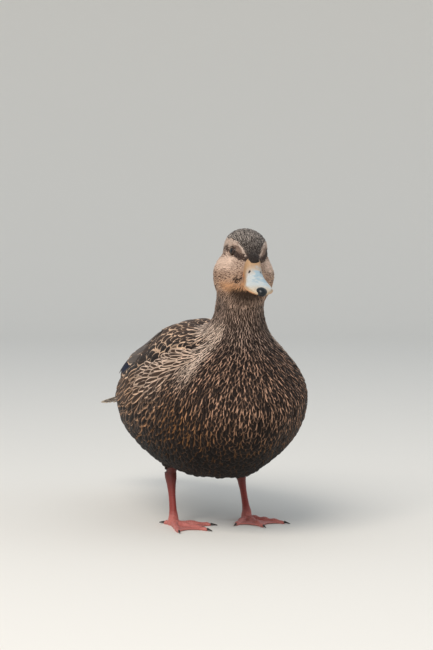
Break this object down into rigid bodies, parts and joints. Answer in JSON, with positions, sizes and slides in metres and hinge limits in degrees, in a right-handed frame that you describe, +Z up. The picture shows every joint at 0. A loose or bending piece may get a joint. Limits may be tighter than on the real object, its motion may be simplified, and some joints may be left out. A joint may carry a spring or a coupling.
{
  "type": "hen mallard duck",
  "caption": "Life-size standing hen duck with streaked brown plumage, orange bill and red webbed feet, neck drawn in and head turned slightly to one side.",
  "frame": {"origin": "middle of the whole duck's box, on the floor it stands on", "axes": "+Z up, -Y is the way its body faces, +Y towards the tail, +X to its left side"},
  "size_m": [0.1518, 0.4018, 0.2805],
  "materials": {
    "head_feathers": "pale buff-grey feathers with fine dark streaks, dark crown and eye line",
    "neck_feathers": "buff-grey feathers with fine dark streaks",
    "body_feathers": "dark brown feathers with buff edges",
    "wing_feathers": "dark brown feathers with pale buff edges, blue-violet wing patch, blackish tips",
    "tail_feathers": "brown tail feathers with pale bars and edges",
    "leg_feathers": "short dark mottled feathers",
    "leg_skin": "coral-red scaly skin",
    "foot_skin": "coral-pink scaly skin with thin webs",
    "bill_horn": "orange-yellow horn, pale along the ridge, satin",
    "nail_horn": "black horn",
    "eye": "very dark brown, wet gloss",
    "claw_horn": "blackish horn"
  },
  "bodies": {
    "root": {"head": "head_feathers", "neck": "neck_feathers", "trunk": "body_feathers", "tail": "tail_feathers", "wing_right": "wing_feathers", "wing_left": "wing_feathers", "thigh_right": "leg_feathers", "thigh_left": "leg_feathers", "shank_right": "leg_skin", "shank_left": "leg_skin", "foot_right": "foot_skin", "foot_left": "foot_skin", "bill_upper": "bill_horn", "bill_lower": "bill_horn", "bill_nail": "nail_horn", "eye_right": "eye", "eye_left": "eye", "claw_right_inner": "claw_horn", "claw_right_middle": "claw_horn", "claw_right_outer": "claw_horn", "claw_right_hind": "claw_horn", "claw_left_inner": "claw_horn", "claw_left_middle": "claw_horn", "claw_left_outer": "claw_horn", "claw_left_hind": "claw_horn"}
  },
  "joints": []
}
